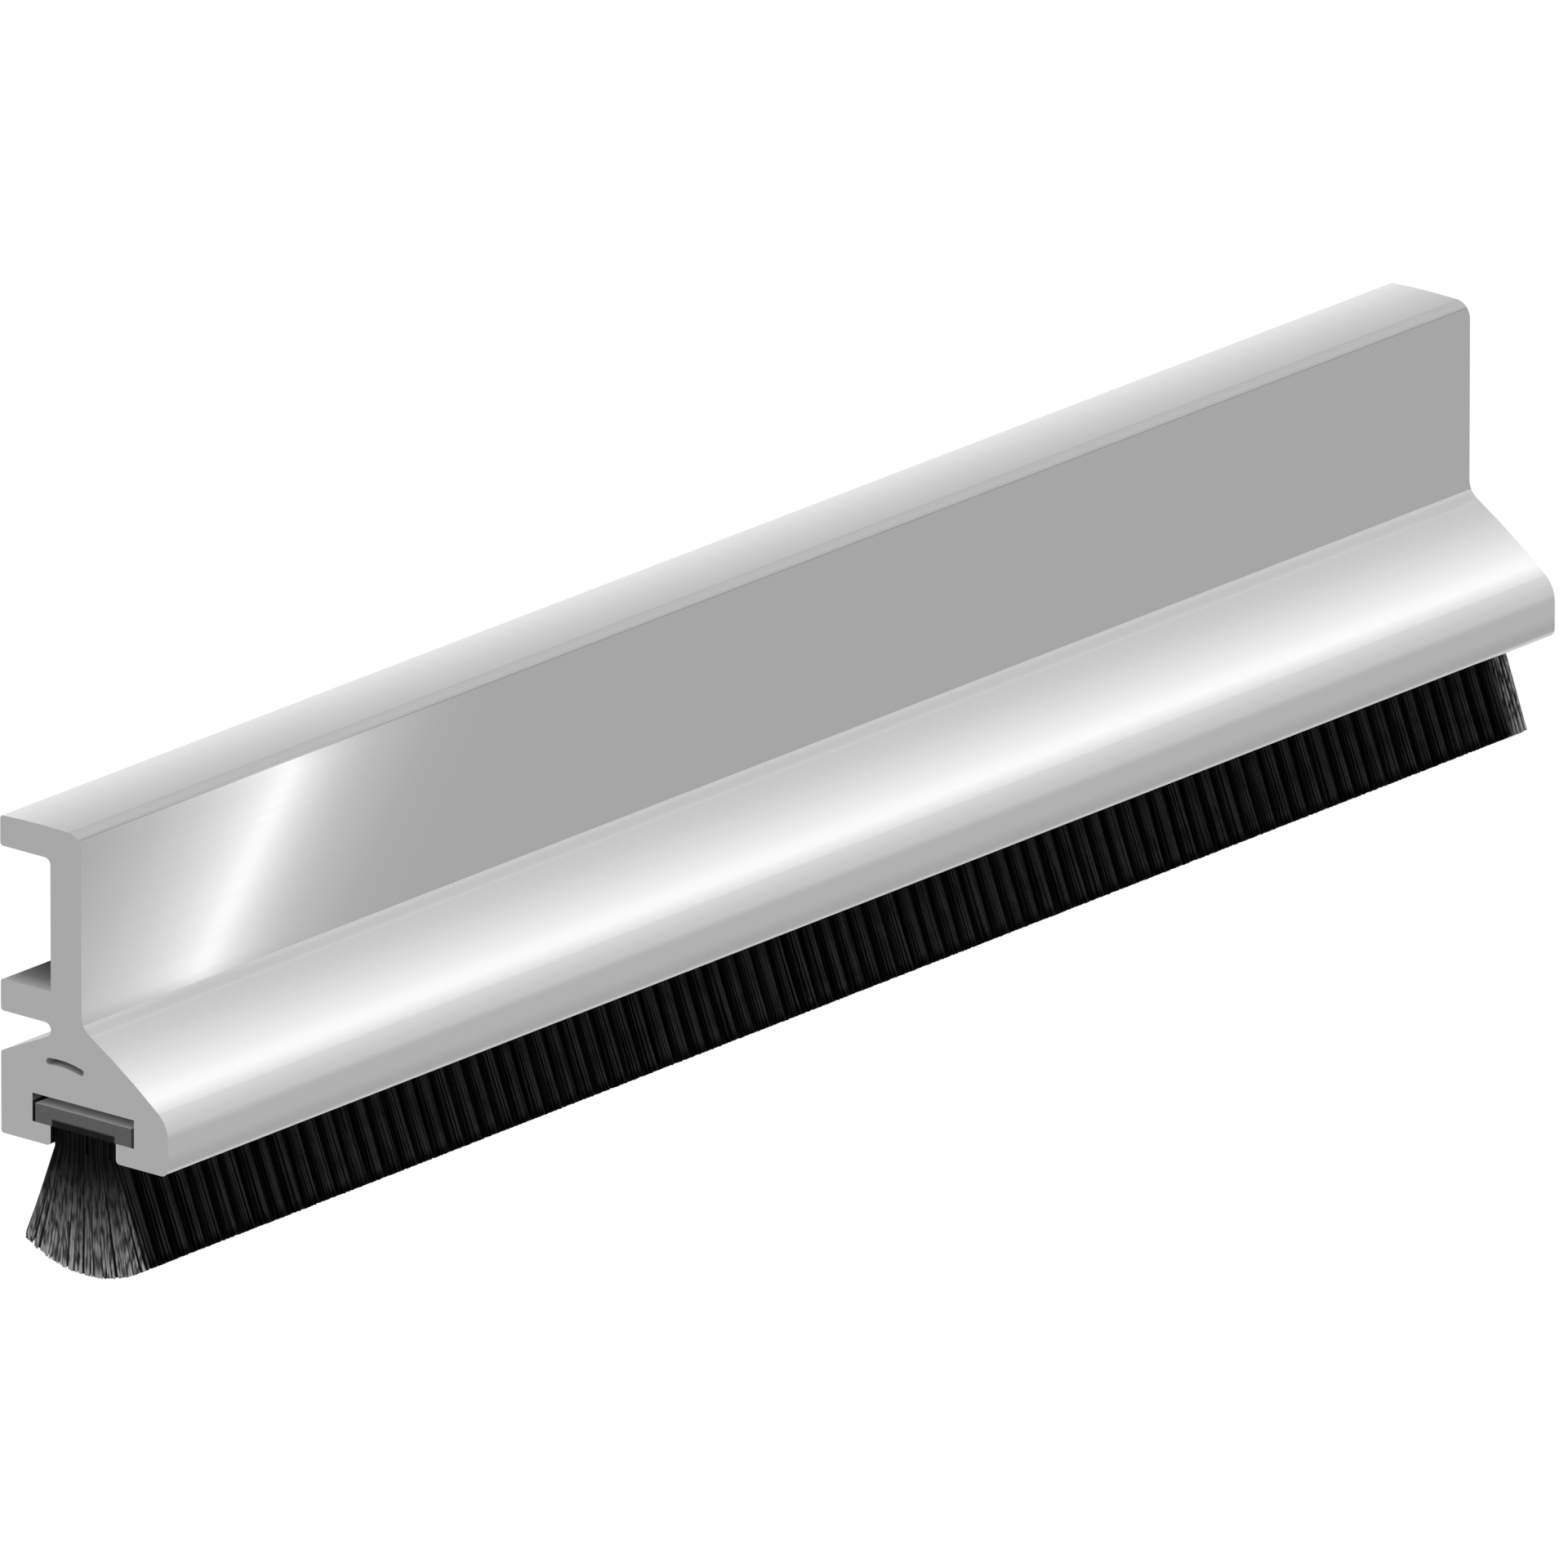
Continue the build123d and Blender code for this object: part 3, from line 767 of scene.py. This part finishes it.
gleam = {
    "far": 13 * millimetre,                # from the web, along the mirrored line of sight
    "brightLine": (-45.0, 12.0),           # where the web shows it, in millimetres: along X, and up
    "lean": 0.8,                           # shift along X for each step up
    "webReach": 5.8,                       # door plane to the front of the web, in millimetres
    "size": (44 * millimetre, 12.4 * millimetre),
    "spread": 24,                          # degrees, so that the slope and the nose show none of it
    # millimetres aside of the bright line: brightness that it adds in the metal
    "levels": {-26: 0, -19: 0.03, -15.6: 0.1, -13.6: 0.164, -11.6: 0.23, -9.6: 0.32, -7.6: 0.42,
               -5.6: 0.54, -3.6: 0.71, -1.6: 0.9, -0.5: 1.15, 0.5: 1.15, 1.6: 0.84, 2.6: 0.7, 4.4: 0.45,
               6.4: 0.29, 8.4: 0.19, 10.4: 0.125, 12.4: 0.07, 14.4: 0.035, 17: 0.01, 20: 0},
    "raise": 1.22,                         # for what the satin scatters past its edges
}


def gleamSoftbox():
    mirrored = Vector((-towardsCamera.x, towardsCamera.y, -towardsCamera.z))
    centreX, centreZ = gleam["brightLine"]
    onWeb = Vector((centreX, -gleam["webReach"], centreZ)) * millimetre
    data = bpy.data.lights.new("gleamSoftbox", "AREA")
    data.shape = "RECTANGLE"
    data.size, data.size_y = gleam["size"]
    data.spread = math.radians(gleam["spread"])
    # the power at which its middle shows as bright as its levels say
    halfSpread = data.spread / 2
    data.energy = gleam["raise"] * math.pi * data.size * data.size_y * (1 - halfSpread / math.tan(halfSpread))
    data.use_nodes = True
    tree = data.node_tree
    tree.nodes.clear()
    # back along the mirrored line of sight to the web, then aside of the bright line there
    place = addNode(tree, "ShaderNodeNewGeometry").outputs["Position"]
    slide = (1.0, (gleam["lean"] * mirrored.z - mirrored.x) / mirrored.y, -gleam["lean"])
    moved = addNode(tree, "ShaderNodeVectorMath", {"operation": "SUBTRACT"}, {0: place, 1: onWeb}).outputs[0]
    aside = addNode(tree, "ShaderNodeVectorMath", {"operation": "DOT_PRODUCT"},
                    {0: moved, 1: slide}).outputs["Value"]
    steps = addNode(tree, "ShaderNodeMath", {"operation": "DIVIDE"}, {0: aside, 1: millimetre}).outputs[0]
    shine = ramp(tree, steps, gleam["levels"])
    glow = addNode(tree, "ShaderNodeEmission", None, {"Strength": shine})
    addNode(tree, "ShaderNodeOutputLight", None, {"Surface": glow.outputs[0]})
    light = bpy.data.objects.new("gleamSoftbox", data)
    bpy.context.scene.collection.objects.link(light)
    # its long edges lie level, so that it ends straight above the slope
    sideways = (Vector((1, 0, 0)) - mirrored * mirrored.x).normalized()
    turn = light.matrix_world.to_3x3()
    turn.col[0] = sideways
    turn.col[1] = mirrored.cross(sideways)
    turn.col[2] = mirrored
    light.matrix_world = turn.to_4x4()
    light.location = onWeb + mirrored * gleam["far"]
    light.visible_camera = False
    light.visible_diffuse = False


# Flag: a small dark card hung level behind the open side of the channel's near end, seen
# only from below, which the top of the middle leg mirrors: painted shade in that mirror

flag = {
    "along": (-59 * millimetre, -43 * millimetre),
    "behind": (0.3 * millimetre, 6.5 * millimetre),
    "level": 9.2 * millimetre,
    # millimetres along X: brightness that it shows from below
    "levels": {-59: 0.62, -54.2: 0.6, -53.9: 0.45, -53.5: 0.27, -53.1: 0.18, -52.6: 0.13, -51.8: 0.1,
               -51: 0.02, -43: 0},
    "lastBounce": 1,                       # rays that have bounced more often pass through it
}


def channelFlag():
    material, tree = newMaterial("flagPaintedShade")
    above = addNode(tree, "ShaderNodeNewGeometry").outputs["Backfacing"]
    bounces = addNode(tree, "ShaderNodeLightPath").outputs["Ray Depth"]
    later = addNode(tree, "ShaderNodeMath", {"operation": "GREATER_THAN"},
                    {0: bounces, 1: flag["lastBounce"] + 0.5}).outputs[0]
    unseen = addNode(tree, "ShaderNodeMath", {"operation": "MAXIMUM"}, {0: above, 1: later}).outputs[0]
    clear = addNode(tree, "ShaderNodeBsdfTransparent")
    place = addNode(tree, "ShaderNodeTexCoord").outputs["Object"]
    along = addNode(tree, "ShaderNodeSeparateXYZ", None, {0: place}).outputs["X"]
    steps = addNode(tree, "ShaderNodeMath", {"operation": "DIVIDE"}, {0: along, 1: millimetre}).outputs[0]
    glow = ramp(tree, steps, flag["levels"])
    paintedShadeCard = addNode(tree, "ShaderNodeEmission", None, {"Strength": glow})
    seen = addNode(tree, "ShaderNodeMixShader", None,
                   {0: unseen, 1: paintedShadeCard.outputs[0], 2: clear.outputs[0]}).outputs[0]
    addNode(tree, "ShaderNodeOutputMaterial", None, {"Surface": seen})
    near, far = flag["along"]
    inner, outer = flag["behind"]
    level = flag["level"]
    corners = [(near, inner, level), (near, outer, level), (far, outer, level), (far, inner, level)]
    card = stageMesh("channelFlag", corners, material)
    card.visible_camera = False
    card.visible_diffuse = False
    card.visible_shadow = False


gleamSoftbox()
channelFlag()
print("softbox and flag hung")
